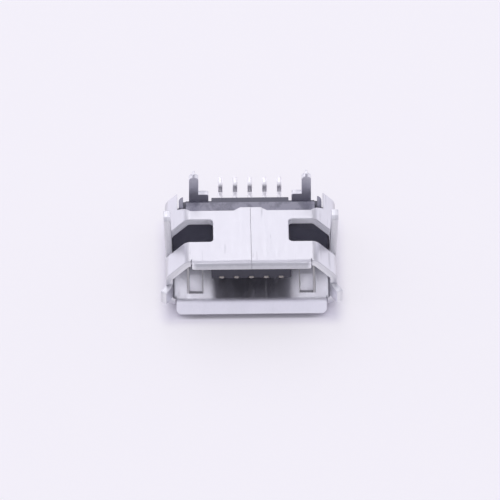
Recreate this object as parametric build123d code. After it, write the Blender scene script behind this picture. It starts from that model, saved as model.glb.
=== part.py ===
from build123d import *
import os
from math import cos, radians, sin, tan

# Micro USB socket: a shell folded from one steel sheet, an insulating housing with a tongue, and contacts.
# Millimetres. X runs across the mouth, Y from the mouth back into the socket, Z is up.
# The socket lies on its wide wall, so the narrow wall, which meets the circuit board, is on top.
# Depths are measured back from the foremost edge of the mouth. The lips' lowest edge is at height zero.

# Sheet and mouth
sheet = 0.30
mouth_width = 6.90
mouth_height = 1.85
mouth_chamfer = 0.72
chamfer_bend = 0.20
corner_bend = 0.12

# Flared lips round the mouth
lip_stand = 0.25
lip_angle = 30.0
wide_lip_stand = 0.33
wide_lip_angle = 40.0
lip_bend = 0.25
lip_corner = 0.22
relief_width = 0.04
relief_run = 0.05
corner_lead = 0.09
wing_height = 0.64
wing_corner = 0.07

# Narrow wall: seam, rear edge with its low tab, and the windows
seam_gap = 0.012
narrow_wall_length = 4.04
tab_width = 0.90
tab_length = 0.22
tab_slope = 0.28
bridge_width = 3.32
window_depth = 1.91
window_length = 1.52
window_corner = 0.18

# Side walls and their board legs
side_wall_margin = 0.22
rear_opening_width = 6.40
rear_opening_slant = 0.50
leg_setback = 0.26
leg_width = 0.68
leg_height = 1.10
leg_splay = 0.09
leg_bend = 0.40
leg_tip = 0.14

# Wide wall: sprung fingers, and straps that turn up behind the housing
wide_wall_margin = 0.16
finger_spacing = 4.86
finger_width = 0.58
finger_slot = 0.09
finger_inner_slot = 0.03
finger_tip_depth = 1.10
finger_front_gap = 0.16
finger_length = 2.10
finger_crest_run = 1.05
finger_crest_rise = 0.05
finger_bend = 0.10
horn_spacing = 4.96
horn_width = 0.42
horn_height = 0.96
horn_round = 0.15
nib_width = 0.10
nib_height = 0.18
shoulder_width = 0.86
shoulder_round = 0.08
strap_bend = 0.15

# Housing
housing_depth = 3.80
crown_length = 0.83
housing_clearance = 0.02
housing_top_drop = 0.10
housing_top_width = 6.28
housing_corner = 0.30
groove_spacing = 5.79
groove_width = 0.11
groove_drop = 0.30
rear_wall_gap = 0.04
top_recess_length = 0.41
ledge_drop = 0.36
ledge_length = 0.22
ledge_width = 3.40
tongue_width = 3.50
tongue_thickness = 0.62
tongue_gap = 0.42
tongue_depth = 0.95
tongue_edge = 0.05

# Contacts
contact_count = 5
contact_pitch = 0.65
contact_thickness = 0.15
contact_width = 0.25
contact_proud = 0.01
contact_bend = 0.06
contact_step_run = 0.55
lead_width = 0.22
lead_drop = 0.54
riser_run = 0.55
foot_length = 0.40

# Heights of the walls' faces; the seat is the face that meets the board
wide_outer = wide_lip_stand
wide_inner = wide_outer + sheet
narrow_inner = wide_inner + mouth_height
seat = narrow_inner + sheet
wide_middle = wide_outer + sheet / 2

# Half widths across the mouth
half_mouth = mouth_width / 2
side_outer = half_mouth + sheet
half_turn = tan(radians(22.5))
narrow_flat = half_mouth - mouth_chamfer - chamfer_bend * half_turn
side_flat_top = narrow_inner - mouth_chamfer - chamfer_bend * half_turn
wide_flat = half_mouth - corner_bend

# Depths of the rear end
crown_front = narrow_wall_length + tab_length + rear_wall_gap
housing_rear = crown_front + crown_length
ledge_end = housing_rear + ledge_length
strap_rear = housing_rear + sheet
side_wall_end = strap_rear + side_wall_margin
riser_depth = ledge_end + riser_run
foot_end = riser_depth + contact_thickness / 2 + foot_length
overall_length = foot_end

# Extra length that makes a cut run clean through, and a joined piece run into its neighbour
through = 1.0
root = 0.10


def y_at(depth):
    """The Y of a depth, with the origin at the middle of the overall length."""
    return depth - overall_length / 2


def block(width, front, back, bottom, top, x=0.0):
    """A box between two depths and two heights, centred on x."""
    middle = Pos(x, (y_at(front) + y_at(back)) / 2, (bottom + top) / 2)
    return middle * Box(width, back - front, top - bottom)


def behind(outline, front, back):
    """An outline across the mouth, drawn in X and Z, carried from one depth to another."""
    return Pos(0, y_at(front), 0) * extrude(Plane.XZ * outline, amount=front - back)


def strip(points, thickness, inside_bend, width):
    """A bent strip: its middle line runs through these Y and Z points, and it is centred on X."""
    line = FilletPolyline(*points, radius=inside_bend + thickness / 2)
    section = Plane.YZ * trace(line, thickness)
    return extrude(section, amount=width / 2, both=True)


def mouth_outline():
    """The inside of the folded sheet: a rectangle with chamfers at the narrow wall, and rounded bends."""
    low = [(-half_mouth, wide_inner), (half_mouth, wide_inner)]
    high = [
        (half_mouth, narrow_inner - mouth_chamfer),
        (half_mouth - mouth_chamfer, narrow_inner),
        (mouth_chamfer - half_mouth, narrow_inner),
        (-half_mouth, narrow_inner - mouth_chamfer),
    ]
    outline = make_face(Polyline(*low, *high, close=True))
    low_corners = outline.vertices().group_by(Axis.Y)[0]
    outline = fillet(low_corners, corner_bend)
    middle_height = (wide_inner + side_flat_top) / 2
    high_corners = [v for v in outline.vertices() if v.Y > middle_height]
    return fillet(high_corners, chamfer_bend)


def lip_length(stand, angle):
    """How long a lip's straight part is, for how far it stands out from its wall."""
    return (stand - lip_bend * (1 - cos(radians(angle)))) / sin(radians(angle))


def bend_line(stand, angle):
    """The depth at which a lip starts to turn away from its wall; its inner edge is at depth zero."""
    turn = radians(angle)
    return (lip_bend + sheet) * sin(turn) + lip_length(stand, angle) * cos(turn)


def sleeve():
    """The four walls, folded round the cavity, from the front of the corners to the side walls' end."""
    inside = mouth_outline()
    outside = offset(inside, sheet)
    return behind(outside - inside, bend_line(lip_stand, lip_angle) - corner_lead, side_wall_end)


def lip(width, corner, stand, angle):
    """A flared lip as it lies on top of a wall whose outer face is at height zero, centred on X."""
    turn = radians(angle)
    start = bend_line(stand, angle)
    past_corner = (lip_bend + sheet / 2) * tan(turn / 2)
    run = past_corner + lip_length(stand, angle)
    points = [
        (y_at(start + root), -sheet / 2),
        (y_at(start - past_corner), -sheet / 2),
        (y_at(start - past_corner - run * cos(turn)), run * sin(turn) - sheet / 2),
    ]
    flared = strip(points, sheet, lip_bend, width)
    corner_edges = flared.faces().sort_by(Axis.Y)[0].edges().filter_by(Axis.X, reverse=True)
    return fillet(corner_edges, corner)


def lip_clearance(width, start):
    """What is cut away for a lip: the wall ahead of its bend line, and a relief slot at each end."""
    height = sheet + 2 * relief_width
    ahead = block(width, -through, start, -height, height)
    slot_middle = (width + relief_width) / 2
    slots = [
        block(relief_width, -through, start + relief_run, -height, height, x=side * slot_middle)
        for side in (-1, 1)
    ]
    return ahead + slots


def lips():
    """Each lip, and what is cut away for it, in place on its wall."""
    wide = 2 * (wide_flat - relief_width)
    narrow = 2 * (narrow_flat - relief_width)
    wing_middle = wide_inner + corner_bend + relief_width + wing_height / 2
    places = [
        (wide, lip_corner, wide_lip_stand, wide_lip_angle, Pos(0, 0, wide_outer) * Rot(0, 180, 0)),
        (narrow, lip_corner, lip_stand, lip_angle, Pos(0, 0, seat)),
        (wing_height, wing_corner, lip_stand, lip_angle, Pos(side_outer, 0, wing_middle) * Rot(0, 90, 0)),
        (wing_height, wing_corner, lip_stand, lip_angle, Pos(-side_outer, 0, wing_middle) * Rot(0, -90, 0)),
    ]
    return [
        (place * lip(width, corner, stand, angle), place * lip_clearance(width, bend_line(stand, angle)))
        for width, corner, stand, angle, place in places
    ]


def window(side):
    """One window through the narrow wall and the chamfer, down to the flat of the side wall."""
    inner = bridge_width / 2
    outer = side_outer + through
    plan = Pos(side * (inner + outer) / 2, y_at(window_depth + window_length / 2)) * Rectangle(
        outer - inner, window_length
    )
    inner_corners = plan.vertices().sort_by(Axis.X, reverse=side < 0)[:2]
    plan = fillet(inner_corners, window_corner)
    return Pos(0, 0, side_flat_top) * extrude(plan, amount=seat - side_flat_top + through)


def leg(side):
    """A board leg: the side wall carried up through its window, splayed a little, with a tapered tip."""
    middle = y_at(window_depth + leg_setback + leg_width / 2)
    foot = side_flat_top - root
    tip = seat + leg_height
    points = [(0, foot), (0, side_flat_top + root), (leg_splay, tip + root)]
    splayed = Rot(0, 0, -90) * strip(points, sheet, leg_bend, leg_width + through)
    splayed = Pos(side_outer - sheet / 2, middle, 0) * splayed
    face = Pos(middle, (foot + tip) / 2) * Rectangle(leg_width, tip - foot)
    face = chamfer(face.vertices().group_by(Axis.Y)[-1], leg_tip)
    right = splayed & extrude(Plane.YZ * face, amount=side_outer + through)
    return right if side > 0 else mirror(right, Plane.YZ)


def behind_rear_edge(half, gap, end):
    """The plan of what lies behind the narrow wall's rear edge, with its low tab and its slanting ends."""
    edge = y_at(narrow_wall_length + gap)
    slant = rear_opening_slant / (rear_opening_width / 2 - narrow_flat)
    side_edge = edge + slant * (half - narrow_flat)
    tab_half = tab_width / 2
    tab_foot = tab_half + tab_slope
    right = [
        (tab_half, edge + tab_length),
        (tab_foot, edge),
        (narrow_flat, edge),
        (half, side_edge),
        (half, y_at(end)),
    ]
    left = [(-x, y) for x, y in reversed(right)]
    plan = make_face(Polyline(*right, *left, close=True))
    tab_corners = [v for v in plan.vertices() if abs(v.X) < (tab_foot + narrow_flat) / 2]
    return fillet(tab_corners, tab_length / 2)


def rear_opening():
    """What is missing behind the narrow wall's rear edge."""
    plan = behind_rear_edge(rear_opening_width / 2, 0, side_wall_end + through)
    depth = mouth_chamfer + sheet + chamfer_bend
    return Pos(0, 0, seat - depth) * extrude(plan, amount=depth + through)


def finger_clearance(side):
    """The slots that free one sprung finger from the wide wall; the inner one is only a narrow cut."""
    width = finger_width + finger_slot + finger_inner_slot
    middle = (finger_spacing + finger_slot - finger_inner_slot) / 2
    front = finger_tip_depth - finger_front_gap
    back = finger_tip_depth + finger_length
    return block(width, front, back, 0, wide_inner + sheet, x=side * middle)


def finger(side):
    """A sprung finger: it rises into the cavity to a crest, and its free end dips level with the wall."""
    heel = finger_tip_depth + finger_length
    points = [
        (y_at(heel + root), wide_middle),
        (y_at(heel - root), wide_middle),
        (y_at(finger_tip_depth + finger_crest_run), wide_middle + finger_crest_rise),
        (y_at(finger_tip_depth), wide_middle),
    ]
    bent = strip(points, sheet, finger_bend, finger_width)
    return Pos(side * finger_spacing / 2, 0, 0) * bent


def wide_wall_end():
    """What is missing behind the wide wall's rear edge, between the side walls' corner bends."""
    edge = housing_rear - strap_bend - wide_wall_margin
    return block(2 * wide_flat, edge, side_wall_end + through, -through, wide_inner + root)


def strap(side):
    """A strap that turns up behind the housing, with its shoulder and its board horn."""
    middle = strap_rear - sheet / 2
    start = housing_rear - strap_bend - wide_wall_margin - root
    outer_edge = (horn_spacing + horn_width) / 2
    shoulder_x = outer_edge - shoulder_width / 2
    points = [
        (y_at(start), wide_middle),
        (y_at(middle), wide_middle),
        (y_at(middle), seat),
    ]
    bent = Pos(shoulder_x, 0, 0) * strip(points, sheet, strap_bend, shoulder_width)
    bent = fillet(bent.edges().filter_by(Axis.Y).group_by(Axis.Z)[-1].sort_by(Axis.X)[0], shoulder_round)
    horn_x = horn_spacing / 2
    horn = Pos(horn_x, seat + (horn_height - root) / 2) * Rectangle(horn_width, horn_height + root)
    horn = fillet(horn.vertices().group_by(Axis.Y)[-1], horn_round)
    nib = Pos(horn_x, seat + horn_height) * Rectangle(nib_width, 2 * nib_height)
    bent += behind(horn + nib, housing_rear, strap_rear)
    return bent if side > 0 else mirror(bent, Plane.YZ)


def shell():
    """The one-piece metal shell."""
    body = sleeve() - rear_opening() - wide_wall_end()
    for side in (-1, 1):
        body -= window(side)
        body -= finger_clearance(side)
    for flared, clearance in lips():
        body -= clearance
        body += flared
    for side in (-1, 1):
        body += leg(side)
        body += finger(side)
        body += strap(side)
    seam_end = narrow_wall_length + tab_length + through
    return body - block(seam_gap, -through, seam_end, narrow_inner - root, seat + lip_stand + through)


def tongue():
    """The tongue, with its front edges eased."""
    top = narrow_inner - tongue_gap
    bar = block(tongue_width, tongue_depth, housing_depth + root, top - tongue_thickness, top)
    front_edges = bar.faces().sort_by(Axis.Y)[0].edges()
    return chamfer(front_edges, tongue_edge)


def heel():
    """The slope along the housing's lower rear edge that clears the inside bends of the straps."""
    rear = y_at(housing_rear)
    corner = [
        (rear + root, wide_inner - root),
        (rear - strap_bend - root, wide_inner - root),
        (rear + root, wide_inner + strap_bend + root),
    ]
    return extrude(Plane.YZ * make_face(Polyline(*corner, close=True)), amount=half_mouth, both=True)


def housing():
    """The insulating block: it fills the rear of the shell, and carries the tongue."""
    core = behind(offset(mouth_outline(), -housing_clearance), housing_depth, housing_rear)
    floor = block(2 * wide_flat, housing_depth, housing_rear, wide_inner, wide_inner + corner_bend)
    top = seat - housing_top_drop
    low = narrow_inner - mouth_chamfer
    crown = behind_rear_edge(housing_top_width / 2, rear_wall_gap, housing_rear)
    crown = fillet(crown.vertices().group_by(Axis.Y)[-1], housing_corner)
    crown = Pos(0, 0, low) * extrude(crown, amount=top - low)
    body = core + floor + crown - heel()
    ledge_top = seat - ledge_drop
    recess_front = housing_rear - top_recess_length
    body -= block(groove_spacing, recess_front, housing_rear + through, ledge_top, seat + through)
    body += block(ledge_width, housing_rear - root, ledge_end, wide_inner + strap_bend, ledge_top)
    for side in (-1, 1):
        body -= block(
            groove_width,
            housing_depth - root,
            housing_rear + through,
            top - groove_drop,
            top + through,
            x=side * groove_spacing / 2,
        )
    return body + tongue()


def contact(x):
    """One contact: under the tongue, up through the housing, back, up again, and out as a solder foot."""
    tongue_low = narrow_inner - tongue_gap - tongue_thickness
    low = tongue_low + contact_thickness / 2 - contact_proud
    lead = seat - lead_drop
    foot = seat - contact_thickness / 2
    step_depth = housing_depth + contact_step_run
    points = [
        (y_at(tongue_depth), low),
        (y_at(step_depth), low),
        (y_at(step_depth), lead),
        (y_at(riser_depth), lead),
        (y_at(riser_depth), foot),
        (y_at(foot_end), foot),
    ]
    narrow = strip(points, contact_thickness, contact_bend, lead_width)
    wide = block(
        contact_width,
        tongue_depth,
        housing_depth + root,
        low - contact_thickness / 2,
        low + contact_thickness / 2,
    )
    return Pos(x, 0, 0) * (narrow + wide)


contacts = {
    f"contact_{number + 1}": contact((number - (contact_count - 1) / 2) * contact_pitch)
    for number in range(contact_count)
}
insulator = housing()
for piece in contacts.values():
    insulator -= piece

nodes = {"shell": shell(), "housing": insulator, **contacts}

os.makedirs("parts", exist_ok=True)
for name, solid in nodes.items():
    export_step(solid, f"parts/{name}.step")
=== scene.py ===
import math

import bmesh
import bpy
import numpy as np
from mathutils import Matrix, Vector
from mathutils.bvhtree import BVHTree


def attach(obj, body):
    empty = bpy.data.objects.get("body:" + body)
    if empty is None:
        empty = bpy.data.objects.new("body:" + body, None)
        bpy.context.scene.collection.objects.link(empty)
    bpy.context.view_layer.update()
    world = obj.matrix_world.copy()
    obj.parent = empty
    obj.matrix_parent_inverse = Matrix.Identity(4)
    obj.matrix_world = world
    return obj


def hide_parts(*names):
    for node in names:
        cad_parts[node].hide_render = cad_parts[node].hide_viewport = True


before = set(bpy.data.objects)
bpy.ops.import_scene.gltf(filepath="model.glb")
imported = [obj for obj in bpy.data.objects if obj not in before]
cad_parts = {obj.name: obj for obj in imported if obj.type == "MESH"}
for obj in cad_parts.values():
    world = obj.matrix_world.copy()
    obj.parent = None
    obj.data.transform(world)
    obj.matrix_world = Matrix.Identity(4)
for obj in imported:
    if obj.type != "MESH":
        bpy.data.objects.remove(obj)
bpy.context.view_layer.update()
print("frame loaded:", ", ".join(sorted(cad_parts)))

mm = 0.001
micrometre = 1e-6
sceneData = bpy.context.scene
sceneData.view_settings.view_transform = "Standard"


# Sets sockets of a node: a wire is linked, and a plain value is written on the socket.
def feed(node, inputs):
    for key, value in inputs.items():
        if isinstance(value, Wire):
            value.tree.links.new(value.socket, node.inputs[key])
        else:
            node.inputs[key].default_value = value


# A socket of a shader node that can be used in sums.
class Wire:
    def __init__(self, tree, socket=None):
        self.tree = tree
        self.socket = socket

    # One node: its type, its settings, the values or wires of its sockets, and which output to hand on.
    def node(self, kind, settings=None, inputs=None, out=0):
        made = self.tree.nodes.new(kind)
        for key, value in (settings or {}).items():
            setattr(made, key, value)
        feed(made, inputs or {})
        return Wire(self.tree, made.outputs[out])

    def math(self, operation, *values):
        return self.node("ShaderNodeMath", {"operation": operation}, dict(enumerate(values)))

    def __add__(self, other):
        return self.math("ADD", self, other)

    def __sub__(self, other):
        return self.math("SUBTRACT", self, other)

    def __mul__(self, other):
        return self.math("MULTIPLY", self, other)

    def __radd__(self, other):
        return self.math("ADD", other, self)

    def __rsub__(self, other):
        return self.math("SUBTRACT", other, self)

    def __rmul__(self, other):
        return self.math("MULTIPLY", other, self)

    def __abs__(self):
        return self.math("ABSOLUTE", self)

    # The wire itself where it is above 0, else 0.
    def positive(self):
        return self.math("MAXIMUM", self, 0.0)

    def root(self):
        return self.math("SQRT", self)

    # Noise runs round 0.5, and this makes it run round 0.
    def centred(self):
        return self - 0.5

    # Runs smoothly from 0 at low to 1 at high.
    def rise(self, low, high):
        values = {"Value": self, "From Min": low, "From Max": high}
        return self.node("ShaderNodeMapRange", {"interpolation_type": "SMOOTHSTEP"}, values)

    # 1 on a band round middle that is width wide, with soft sides.
    def band(self, middle, width, soft):
        off = abs(self - middle)
        return 1 - off.rise(width / 2 - soft / 2, width / 2 + soft / 2)

    # The three numbers of a vector.
    def parts(self):
        return [self.node("ShaderNodeSeparateXYZ", None, {0: self}, axis) for axis in range(3)]

    def stretched(self, x, y, z):
        return self.node("ShaderNodeVectorMath", {"operation": "MULTIPLY"}, {0: self, 1: (x, y, z)})

    # Noise on the place. Below 1, a stretch makes it longer along that axis.
    def pattern(self, stretch, scale, detail, roughness):
        place = self.stretched(*stretch)
        values = {"Vector": place, "Scale": scale, "Detail": detail, "Roughness": roughness}
        return self.node("ShaderNodeTexNoise", None, values, "Fac")

    # A colour at a share of its brightness.
    def dimmed(self, share):
        return self.node("ShaderNodeVectorMath", {"operation": "SCALE"}, {0: self, "Scale": share})

    # The colour low where the wire is 0, and high where it is 1.
    def mixed(self, low, high):
        sides = {"Factor": self, 6: asColour(low), 7: asColour(high)}
        return self.node("ShaderNodeMix", {"data_type": "RGBA"}, sides, 2)


def asColour(value):
    return value if isinstance(value, Wire) else (*value, 1.0)


# A material with its Principled shader. Millimetres of the object's own space are handed on as a wire.
def newMaterial(name):
    material = bpy.data.materials.new(name)
    material.use_nodes = True
    tree = material.node_tree
    shader = tree.nodes["Principled BSDF"]
    place = Wire(tree).node("ShaderNodeTexCoord", out="Object").stretched(1 / mm, 1 / mm, 1 / mm)
    return material, shader, place


# Bump from a height in micrometres.
def bumped(height):
    return height.node("ShaderNodeBump", None, {"Height": height, "Distance": micrometre, "Strength": 1.0})


# A pattern is its stretch along X, Y and Z, then the noise's scale, detail and roughness. Limits are where
# it starts and where it is full. Shade and Rough say how much it changes the colour and the roughness, and
# heights are in micrometres.
shellFinish = {
    "outerShadedColour": (0.705, 0.70, 0.728),   # painted light and shade: the outer faces are painted darker and the inner faces lighter, though they are one plating
    "innerLitColour": (0.95, 0.945, 0.99),
    "outerRoughness": 0.44,
    "innerRoughness": 0.44,
    "grain": ((1, 0.05, 1), 38.0, 3.0, 0.6),   # rolling grain, along Y
    "grainShade": 0.07,
    "grainRough": 0.14,
    "grainHeight": 0.9,
    "streak": ((1, 0.03, 1), 8.0, 3.0, 0.65),
    "streakShade": 0.10,
    "streakRough": 0.16,
    "cloud": ((1, 0.6, 1), 0.9, 2.0, 0.5),
    "cloudLimits": (0.35, 0.65),
    "cloudShade": 0.95,
    "cloudRough": 0.12,
    "speck": ((1, 1, 1), 24.0, 2.0, 0.6),
    "speckHeight": 0.25,
    "scratch": ((1, 0.03, 1), 9.0, 1.0, 0.5),
    "scratchLimits": (0.66, 0.72),
    "scratched": ((1, 1, 1), 1.1, 1.0, 0.5),   # the areas that have scratches
    "scratchedLimits": (0.5, 0.6),
    "alongLimits": (0.05, 0.25),               # scratches stop on faces that turn towards Y
    "scratchDim": 0.10,
    "scratchRough": 0.12,
    "scratchHeight": 0.8,
    "burnished": (0.76, 0.76, 0.785),          # the smooth band of a punched edge, next to the outer face
    "fractured": (0.86, 0.86, 0.88),           # the torn band behind it
    "tearPlace": 0.50,                         # where the bands meet, as a share of the thickness
    "tearSoft": 0.08,
    "tearLine": ((1, 1, 1), 7.0, 2.0, 0.6),
    "tearWander": 0.35,
    "tornRoughness": 0.55,
    "shear": ((1, 1, 0.08), 30.0, 2.0, 0.6),   # marks of the punch, along Z
    "shearRough": 0.2,
    "shearHeight": 3.0,
    "fingerPlace": (2.43, 0.58),               # mm: middle and width of the sprung fingers, along X
    "fingerReach": (-1.04, 2.10),              # mm: their middle and length, along Y
    "fingerTop": (0.75, 0.80),                 # mm: where they have ended, along Z
    "fingerSoft": 0.04,                        # mm
    "fingerPaintedShade": 0.05,                         # painted shade: the fingers are painted darker
    "fingerRough": 0.09,
}


# 1 on the two sprung fingers.
def onFingers(place):
    look = shellFinish
    across, along, up = place.parts()
    beside = abs(across).band(*look["fingerPlace"], look["fingerSoft"])
    within = along.band(*look["fingerReach"], look["fingerSoft"])
    return beside * within * (1 - up.rise(*look["fingerTop"]))


# Plated sheet: rolling grain along Y, soft clouding of the plating and a few fine scratches. Its punched
# edges have a smooth darker band and a torn paler one, with marks that run through the thickness.
def platedSheet():
    look = shellFinish
    material, shader, place = newMaterial("plated_steel_sheet")
    cut = place.node("ShaderNodeAttribute", {"attribute_name": "cutEdge"}, None, "Fac")
    inward = place.node("ShaderNodeAttribute", {"attribute_name": "inward"}, None, "Fac")
    grain = place.pattern(*look["grain"])
    streak = place.pattern(*look["streak"])
    cloud = place.pattern(*look["cloud"])
    facing = abs(place.node("ShaderNodeTexCoord", out="Normal").parts()[1])
    scratch = place.pattern(*look["scratch"]).rise(*look["scratchLimits"])
    scratch = scratch * place.pattern(*look["scratched"]).rise(*look["scratchedLimits"])
    scratch = scratch * (1 - facing.rise(*look["alongLimits"]))
    tearLine = inward + place.pattern(*look["tearLine"]).centred() * look["tearWander"]
    torn = tearLine.rise(look["tearPlace"] - look["tearSoft"], look["tearPlace"] + look["tearSoft"])
    shear = place.pattern(*look["shear"])
    # Painted shade on the sprung fingers. The same mask also makes them rougher.
    fingerShadeAndRough = onFingers(place)

    # Painted light and shade: the inner faces of the sheet are painted lighter than the outer faces.
    sheet = inward.mixed(look["outerShadedColour"], look["innerLitColour"])
    sheet = cloud.rise(*look["cloudLimits"]).mixed(sheet.dimmed(look["cloudShade"]), sheet)
    edges = torn.mixed(look["burnished"], look["fractured"])
    dim = 1 + grain.centred() * look["grainShade"] + streak.centred() * look["streakShade"]
    # Painted shade darkens the fingers.
    dim = dim - scratch * look["scratchDim"] - fingerShadeAndRough * look["fingerPaintedShade"]
    colour = cut.mixed(sheet, edges).dimmed(dim)

    rough = look["outerRoughness"] + inward * (look["innerRoughness"] - look["outerRoughness"])
    rough = rough + grain.centred() * look["grainRough"] + streak.centred() * look["streakRough"]
    rough = rough + cloud.centred() * look["cloudRough"] + scratch * look["scratchRough"]
    rough = rough + cut * torn * (look["tornRoughness"] - look["outerRoughness"])
    rough = rough + cut * shear.centred() * look["shearRough"] + fingerShadeAndRough * look["fingerRough"]

    height = grain * look["grainHeight"] + place.pattern(*look["speck"]) * look["speckHeight"]
    height = height - scratch * look["scratchHeight"] + cut * torn * shear * look["shearHeight"]
    feed(shader, {"Base Color": colour, "Roughness": rough, "Normal": bumped(height), "Metallic": 1.0})
    return material


plasticFinish = {
    "deep": (0.072, 0.072, 0.102),
    "worn": (0.105, 0.105, 0.140),
    "tongueShadeShare": 0.60,             # painted shade: the tongue, deep in the mouth, is painted darker than the block
    "tongueLimits": (0.1, 0.5),      # mm along Y, where the tongue meets the block
    "paintedSheen": (0.27, 0.265, 0.32),    # painted sheen: the housing's top step is painted grey
    "paintedSheenLimits": (2.55, 2.61),     # mm above the lower lip's edge
    "paintedSheenLeast": 0.42,
    "paintedSheenPatches": 0.85,            # what the patches add
    "sheenPatches": ((-1, 0.6, 0.3), 1.7, 4.0, 0.65),
    "sheenPatchLimits": (0.36, 0.64),
    "cloud": ((1, 1, 1), 1.6, 2.0, 0.5),
    "cloudWear": 0.7,
    "fibre": ((1, 0.12, 1), 60.0, 2.0, 0.6),
    "fibreLimits": (0.60, 0.72),
    "fibreWear": 0.5,
    "fibreRough": 0.10,
    "fibreHeight": 0.8,
    "skin": ((1, 1, 1), 16.0, 3.0, 0.6),
    "skinRough": 0.20,
    "skinHeight": 2.0,
    "roughness": 0.34,
}


# Glass filled black plastic: a fine skin like an orange's, short fibres that lie along Y, and a painted grey
# sheen
#  on the top step.
def filledPlastic():
    look = plasticFinish
    material, shader, place = newMaterial("black_filled_plastic")
    along, up = place.parts()[1:]
    skin = place.pattern(*look["skin"])
    cloud = place.pattern(*look["cloud"])
    fibres = place.pattern(*look["fibre"]).rise(*look["fibreLimits"])
    sheenPatches = place.pattern(*look["sheenPatches"]).rise(*look["sheenPatchLimits"])
    block = along.rise(*look["tongueLimits"])
    base = (cloud * look["cloudWear"] + fibres * look["fibreWear"]).mixed(look["deep"], look["worn"])
    # Painted shade on the tongue inside the mouth.
    base = base.dimmed(look["tongueShadeShare"] + block * (1 - look["tongueShadeShare"]))
    # Painted sheen: the top step is painted grey, in patches.
    paintedSheen = up.rise(*look["paintedSheenLimits"]) * (look["paintedSheenLeast"] + sheenPatches * look["paintedSheenPatches"])
    colour = paintedSheen.mixed(base, look["paintedSheen"])
    rough = look["roughness"] + skin.centred() * look["skinRough"] + fibres * look["fibreRough"]
    height = skin * look["skinHeight"] + fibres * look["fibreHeight"]
    feed(shader, {"Base Color": colour, "Roughness": rough, "Normal": bumped(height)})
    return material


contactFinish = {
    "tin": (0.93, 0.92, 0.93),
    "dullTin": (0.88, 0.87, 0.88),
    "flash": (0.46, 0.43, 0.40),     # thin gold on the part that lies under the tongue
    "flashLimits": (0.8, 1.0),       # mm along Y, where the flash stops
    "flashWander": 0.3,              # mm
    "cloud": ((1, 1, 1), 2.4, 2.0, 0.5),
    "cloudLimits": (0.3, 0.7),
    "cloudRough": 0.10,
    "drawn": ((1, 0.06, 1), 55.0, 2.0, 0.6),
    "drawnRough": 0.14,
    "drawnHeight": 0.6,
    "roughness": 0.46,
}


# Tinned copper alloy with drawn lines along Y and soft clouding, and a thin gold flash under the tongue.
def tinnedCopper():
    look = contactFinish
    material, shader, place = newMaterial("tinned_contact")
    drawn = place.pattern(*look["drawn"])
    cloud = place.pattern(*look["cloud"])
    tinned = cloud.rise(*look["cloudLimits"]).mixed(look["dullTin"], look["tin"])
    along = place.parts()[1] + cloud.centred() * look["flashWander"]
    colour = along.rise(*look["flashLimits"]).mixed(look["flash"], tinned)
    rough = look["roughness"] + drawn.centred() * look["drawnRough"] + cloud.centred() * look["cloudRough"]
    height = drawn * look["drawnHeight"]
    feed(shader, {"Base Color": colour, "Roughness": rough, "Normal": bumped(height), "Metallic": 1.0})
    return material


# How the copies of the CAD meshes are cleaned and measured.
meshCare = {
    "mergeWithin": 1e-7,          # metres
    "flatWithin": 0.8,            # degrees: flatter edges are taken out
    "sharpFrom": 38,              # degrees: sharper edges are eased
    "flatWeight": 100,            # so that large faces rule the shading
    "rayStart": 1e-6,             # metres from a face
    "gaugeWithin": 0.04 * mm,     # a wall this near to the sheet's thickness is sheet
    "squareFrom": 0.95,           # a face that looks along Y this squarely is at the front or the rear
}


# The middle of the largest triangle of each face, which always lies on the face.
def middlesOfFaces(work):
    middles = {}
    for corners in work.calc_loop_triangles():
        a, b, c = (corner.vert.co for corner in corners)
        area = (b - a).cross(c - a).length
        if area > middles.get(corners[0].face, (0.0, None))[0]:
            middles[corners[0].face] = (area, (a + b + c) / 3)
    return {face: middle for face, (area, middle) in middles.items()}


# Each sharp edge that stands out gets the full easing, and the hollow corners get none.
def shareEasing(work):
    share = work.edges.layers.float.new("bevel_weight_edge")
    sharp = math.radians(meshCare["sharpFrom"])
    for edge in work.edges:
        if len(edge.link_faces) == 2 and edge.is_convex and edge.calc_face_angle() > sharp:
            edge[share] = 1.0
    return share


# Marks on the shell. cutEdge is 1 on the punched edges: the faces whose metal isn't one sheet thick. inward
# is 0 along outer sheet faces and 1 along inner ones. The easing stays whole on the outer side, where the
# punch rolls the sheet over, and gets smaller on the inner side and in narrow slots.
def markSheet(work, share, look):
    cutEdge = work.faces.layers.float.new("cutEdge")
    inward = work.verts.layers.float.new("inward")
    tree = BVHTree.FromBMesh(work)
    step = meshCare["rayStart"]
    room = {}
    for vertex in work.verts:
        vertex[inward] = 0.5   # unless a sheet face says otherwise
    for face, middle in middlesOfFaces(work).items():
        normal = face.normal
        behind = tree.ray_cast(middle - normal * step, -normal)
        ahead = tree.ray_cast(middle + normal * step, normal)
        if behind[0] is None or abs(behind[3] + step - look["sheet"]) > meshCare["gaugeWithin"]:
            face[cutEdge] = 1.0
            room[face] = ahead[3] if ahead[0] else 1.0   # the way across a slot, or open
        else:
            outer = normal.x * middle.x + normal.z * (middle.z - look["middleHeight"]) > 0
            if abs(normal.y) > meshCare["squareFrom"]:
                outer = normal.y > 0
            for vertex in face.verts:
                vertex[inward] = 0.0 if outer else 1.0
    for edge in work.edges:
        side = sum(vertex[inward] for vertex in edge.verts) / 2
        gap = min(room.get(face, 1.0) for face in edge.link_faces)
        edge[share] *= min(1 - side * (1 - look["innerShare"]), gap * look["slotShare"] / look["edgeEase"])


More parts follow.
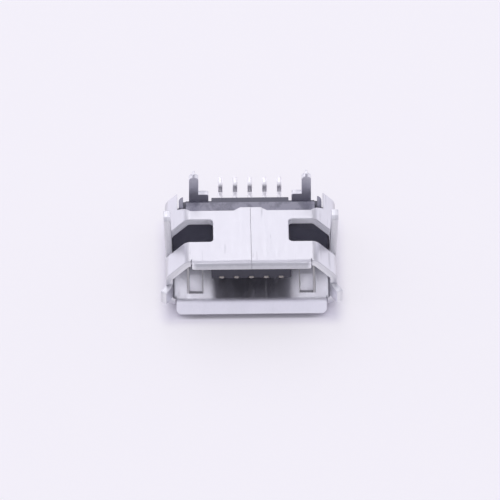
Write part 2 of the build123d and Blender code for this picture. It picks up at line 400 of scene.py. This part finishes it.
# A copy of a CAD node whose loose triangles are merged into whole faces, and whose edges are eased.
def easedCopy(node, name, look):
    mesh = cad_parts[node].data.copy()
    mesh.name = name
    work = bmesh.new()
    work.from_mesh(mesh)
    flat = math.radians(meshCare["flatWithin"])
    bmesh.ops.remove_doubles(work, verts=work.verts, dist=meshCare["mergeWithin"])
    bmesh.ops.dissolve_limit(work, angle_limit=flat, verts=work.verts, edges=work.edges)
    work.normal_update()
    share = shareEasing(work)
    if "sheet" in look:
        markSheet(work, share, look)
    work.to_mesh(mesh)
    work.free()
    if "custom_normal" in mesh.attributes:   # the CAD's normals don't fit eased edges
        mesh.attributes.remove(mesh.attributes["custom_normal"])
    piece = bpy.data.objects.new(name, mesh)
    sceneData.collection.objects.link(piece)
    mesh.shade_smooth()
    bevel = piece.modifiers.new("easedEdges", "BEVEL")
    bevel.width = look["edgeEase"]
    bevel.segments = look["easeSteps"]
    bevel.limit_method = "WEIGHT"
    bevel.use_clamp_overlap = False
    flats = piece.modifiers.new("flatFaces", "WEIGHTED_NORMAL")
    flats.mode = "FACE_AREA"
    flats.weight = meshCare["flatWeight"]
    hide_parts(node)
    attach(piece, "root")
    return piece


def dress(piece, material):
    piece.data.materials.clear()
    piece.data.materials.append(material)


shellShape = {
    "sheet": 0.30 * mm,
    "middleHeight": 1.555 * mm,   # the middle of the cavity
    "edgeEase": 0.036 * mm,       # on outer edges
    "innerShare": 0.40,           # of the easing, on inner edges
    "slotShare": 1 / 3,           # of a slot's width that the easing may take
    "easeSteps": 3,
}
housingShape = {"edgeEase": 0.025 * mm, "easeSteps": 2}
contactShape = {"edgeEase": 0.068 * mm, "easeSteps": 4}

shellPiece = easedCopy("shell", "stamped_shell", shellShape)
dress(shellPiece, platedSheet())
print("shell done")

housingPiece = easedCopy("housing", "moulded_housing", housingShape)
dress(housingPiece, filledPlastic())
print("housing done")

contactMetal = tinnedCopper()
for number in range(1, 6):
    contactPiece = easedCopy(f"contact_{number}", f"spring_contact_{number}", contactShape)
    dress(contactPiece, contactMetal)
print("contacts done")


# The card under the socket, with places in millimetres. A strip is its middle, its width and its softness.
cardLook = {
    "halfSize": 3.0,                       # metres
    "colour": (0.950, 0.925, 0.990),
    "fleckColour": (0.9595, 0.93425, 0.99),
    "flecks": ((1, 1, 1), 0.35, 3.0, 0.5),
    "roughness": 0.9,
    "glow": (1.0, 0.98, 1.0),              # the pale ground that the eye and the metal's gloss see
    "glowShare": 0.50,
    "footprint": (3.45, -2.98, 2.60),      # half width, front and rear of the ground under the socket
    "openGround": 0.92,                    # from there to the fully open ground
    "lipShade": (-3.12, 0.20, 0.16),       # the strip of shade before the lower lip, by its Y
    "lipShadeEnds": (2.3, 3.6),            # where it fades out to each side
    "lipShadeDepth": 0.46,
    "fingersAcross": (2.43, 1.10, 0.50),   # the ground lit through the fingers' slots, by its X
    "fingersAlong": (-1.05, 2.70, 0.50),   # and by its Y
    "fingersShare": 0.19,
}


# Pale card. The glow lifts it to a near-white ground and fades out beside the socket, where the shadow is
# full. Only the eye, gloss and glass see the glow, so it lights nothing.
def paleCard():
    look = cardLook
    material, shader, place = newMaterial("pale_card")
    across, along = place.parts()[:2]
    side, front, rear = look["footprint"]
    aside = (abs(across) - side).positive()
    ahead = (abs(along - (front + rear) / 2) - (rear - front) / 2).positive()
    openGround = (aside * aside + ahead * ahead).root().rise(0.0, look["openGround"])
    underFingers = abs(across).band(*look["fingersAcross"]) * along.band(*look["fingersAlong"])
    shade = along.band(*look["lipShade"]) * (1 - abs(across).rise(*look["lipShadeEnds"]))
    card = place.pattern(*look["flecks"]).mixed(look["colour"], look["fleckColour"])
    card = card.dimmed(1 - shade * look["lipShadeDepth"])
    feed(shader, {"Base Color": card, "Roughness": look["roughness"], "Specular IOR Level": 0.0})

    kinds = ("Is Camera Ray", "Is Glossy Ray", "Is Transmission Ray")
    camera, glossy, transmission = [place.node("ShaderNodeLightPath", out=kind) for kind in kinds]
    share = openGround * look["glowShare"] + underFingers * look["fingersShare"]
    share = (camera + glossy + transmission) * share
    glow = place.node("ShaderNodeEmission", None, {"Color": asColour(look["glow"]), "Strength": 1.0})
    lit = Wire(material.node_tree, shader.outputs[0])
    both = place.node("ShaderNodeMixShader", None, {0: share, 1: lit, 2: glow})
    feed(material.node_tree.nodes["Material Output"], {"Surface": both})
    return material


# The floor is a plane that touches the shell twice. It goes through the lowest edge, which is the lower
# lip's, and its slope is the smallest rise over run from there to any point more than 1 mm behind.
def makeFloor():
    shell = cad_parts["shell"].data
    points = np.empty(len(shell.vertices) * 3)
    shell.vertices.foreach_get("co", points)
    points = points.reshape(-1, 3)
    lipY, lipZ = points[points[:, 2].argmin(), 1:]
    behind = points[points[:, 1] > lipY + mm]
    slope = ((behind[:, 2] - lipZ) / (behind[:, 1] - lipY)).min()
    half = cardLook["halfSize"]
    corners = np.array([(-half, -half), (half, -half), (half, half), (-half, half)])
    heights = lipZ + slope * (corners[:, 1] - lipY)
    mesh = bpy.data.meshes.new("floor")
    mesh.from_pydata(np.column_stack([corners, heights]).tolist(), [], [(0, 1, 2, 3)])
    floor = bpy.data.objects.new("floor", mesh)
    sceneData.collection.objects.link(floor)
    mesh.materials.append(paleCard())
    print(f"floor done, from Y {lipY / mm:.4f} mm with slope {slope:.6f}")


# Brightness of the room, with limits on a sphere of radius 1 round the socket.
roomLook = {
    "skyColour": (0.90, 0.885, 1.0),
    "frontLow": 0.30,               # low down on the camera's side
    "frontHigh": 0.92,
    "frontLimits": (0.10, 0.95),
    "backLow": 1.42,
    "backHigh": 0.53,
    "backLimits": (0.0, 0.60),
    "depthLimits": (-0.60, 0.40),   # where the front passes into the back
    "sideBoost": 0.45,              # bright walls to the left and right
    "sideLimits": (0.25, 0.75),
    "leftBoost": 0.08,
}


# The room: bright behind and at the sides, darker on the camera's side.
def makeRoom():
    look = roomLook
    world = bpy.data.worlds.new("pale_room")
    sceneData.world = world
    world.use_nodes = True
    tree = world.node_tree
    across, along, up = Wire(tree).node("ShaderNodeTexCoord", out="Generated").parts()
    depth = along.rise(*look["depthLimits"])
    front = look["frontLow"] + up.rise(*look["frontLimits"]) * (look["frontHigh"] - look["frontLow"])
    back = look["backLow"] + up.rise(*look["backLimits"]) * (look["backHigh"] - look["backLow"])
    sides = 1 + abs(across).rise(*look["sideLimits"]) * look["sideBoost"] - across * look["leftBoost"]
    level = (front + depth * (back - front)) * sides
    feed(tree.nodes["Background"], {"Color": asColour(look["skyColour"]), "Strength": level})


# Lamps look at the origin, with sizes and places in metres. The rear one stands near the place that the sheet
# mirrors towards the camera.
lampColour = (0.96, 0.945, 1.0)
lamps = {
    "overheadSoftbox": {"place": (-0.02, 0.02, 0.50), "size": (0.30, 0.30), "watts": 0.14},
    "rearStripbox": {"place": (-0.03, 0.315, 0.403), "size": (0.14, 0.42), "watts": 0.38},
}


def makeLamp(name, plan):
    lamp = bpy.data.lights.new(name, "AREA")
    lamp.shape = "RECTANGLE"
    lamp.size, lamp.size_y = plan["size"]
    lamp.energy = plan["watts"]
    lamp.color = lampColour
    holder = bpy.data.objects.new(name, lamp)
    holder.location = plan["place"]
    holder.rotation_mode = "QUATERNION"
    holder.rotation_quaternion = Vector(plan["place"]).to_track_quat("Z", "Y")
    sceneData.collection.objects.link(holder)


makeFloor()
makeRoom()
for name, plan in lamps.items():
    makeLamp(name, plan)
print("stage done")


cameraPlan = {
    "azimuth": -0.9,       # degrees
    "elevation": 40.0,
    "distance": 0.50,      # metres
    "lens": 824.0,         # millimetres, as the sensor is
    "sensor": 36.0,
    "clip": (0.01, 5.0),   # metres
    "target": (-0.07 * mm, -2.560 * mm, 3.348 * mm),
}


def makeCamera():
    plan = cameraPlan
    data = bpy.data.cameras.new("camera")
    data.lens = plan["lens"]
    data.sensor_width = plan["sensor"]
    data.clip_start, data.clip_end = plan["clip"]
    camera = bpy.data.objects.new("camera", data)
    sceneData.collection.objects.link(camera)
    turn = math.radians(plan["azimuth"])
    rise = math.radians(plan["elevation"])
    back = Vector((math.sin(turn) * math.cos(rise), -math.cos(turn) * math.cos(rise), math.sin(rise)))
    camera.location = Vector(plan["target"]) + back * plan["distance"]
    camera.rotation_mode = "QUATERNION"
    camera.rotation_quaternion = back.to_track_quat("Z", "Y")
    sceneData.camera = camera


makeCamera()
print("camera done")
